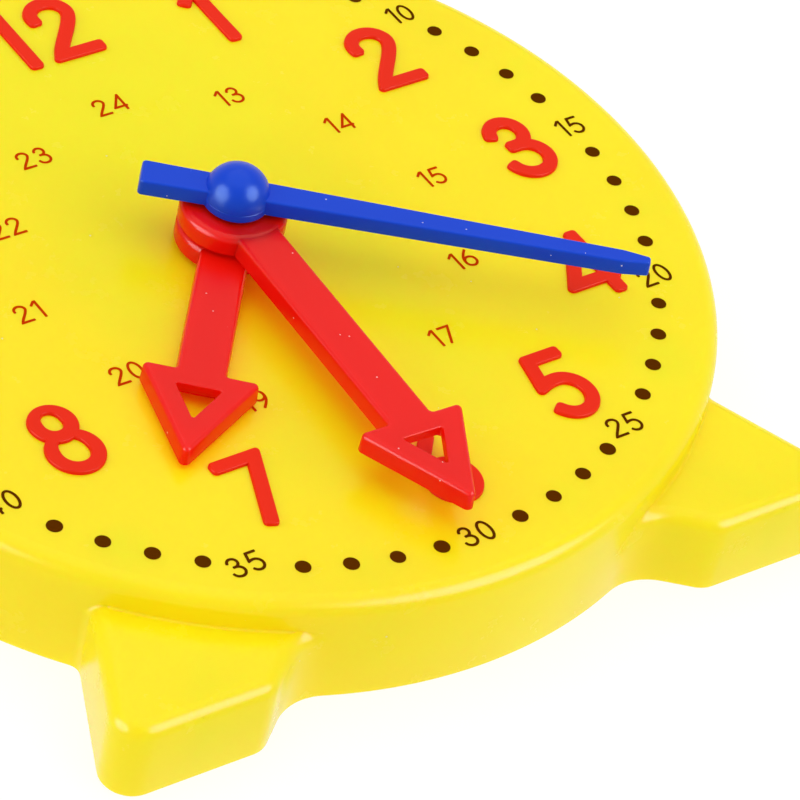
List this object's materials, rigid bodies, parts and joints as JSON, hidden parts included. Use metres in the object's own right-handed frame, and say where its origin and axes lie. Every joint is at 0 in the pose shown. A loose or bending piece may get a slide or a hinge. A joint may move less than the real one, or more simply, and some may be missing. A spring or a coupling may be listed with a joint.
{
  "type": "geared teaching clock",
  "caption": "Round teaching clock on two short feet, with raised numerals and hour, minute and second hands linked by a train of gears behind the dial and set by a knob at the back.",
  "frame": {"origin": "on the hands' common axis, in the plane of the body's back rim", "axes": "+Z out of the dial towards the viewer, +Y from the hands' axis towards 12, +X towards 3; the clock lies on its back"},
  "size_m": [0.1, 0.1007, 0.022],
  "materials": {
    "body_yellow": "glossy moulded",
    "hands_red": "satin gloss moulded",
    "second_blue": "satin gloss moulded",
    "cover_clear": "clear moulded plastic",
    "gear_white": "satin moulded",
    "bush_white": "satin moulded",
    "knob_blue": "glossy moulded",
    "steel": "ground",
    "screw_steel": "plated"
  },
  "bodies": {
    "housing": {"front_shell": "body_yellow", "dial_bush": "bush_white", "rear_cover": "cover_clear", "cover_screws": "screw_steel", "reduction_pin": "steel"},
    "seconds": {"second_hand": "second_blue", "seconds_arbor": "steel", "seconds_pinion": "gear_white"},
    "reduction": {"reduction_wheel": "gear_white"},
    "minutes": {"minute_hand": "hands_red", "minute_wheel": "gear_white", "seconds_washer": "steel"},
    "motion": {"motion_wheel": "gear_white", "setting_arbor": "steel", "setting_washer": "steel", "setting_knob": "knob_blue", "knob_screw": "screw_steel"},
    "hours": {"hour_hand": "hands_red", "hour_wheel": "gear_white", "minute_washer": "steel"}
  },
  "joints": [
    {"name": "seconds_turn", "type": "hinge", "parent": "housing", "child": "seconds", "pos_m": [0, 0, 0.0053], "axis": [0, 0, -1], "continuous": true},
    {"name": "reduction_turn", "type": "hinge", "parent": "housing", "child": "reduction", "pos_m": [0, 0.0215, 0.0053], "axis": [0, 0, -1], "continuous": true},
    {"name": "minutes_turn", "type": "hinge", "parent": "housing", "child": "minutes", "pos_m": [0, 0, 0.0067], "axis": [0, 0, -1], "continuous": true},
    {"name": "motion_turn", "type": "hinge", "parent": "housing", "child": "motion", "pos_m": [0, -0.022, 0.0081], "axis": [0, 0, -1], "continuous": true},
    {"name": "hours_turn", "type": "hinge", "parent": "housing", "child": "hours", "pos_m": [0, 0, 0.0095], "axis": [0, 0, -1], "continuous": true}
  ],
  "couplings": [
    {"joint": "reduction_turn", "follows": "seconds_turn", "ratio": -0.13333},
    {"joint": "minutes_turn", "follows": "seconds_turn", "ratio": 0.016667},
    {"joint": "motion_turn", "follows": "seconds_turn", "ratio": -0.0055556},
    {"joint": "hours_turn", "follows": "seconds_turn", "ratio": 0.0013889}
  ]
}
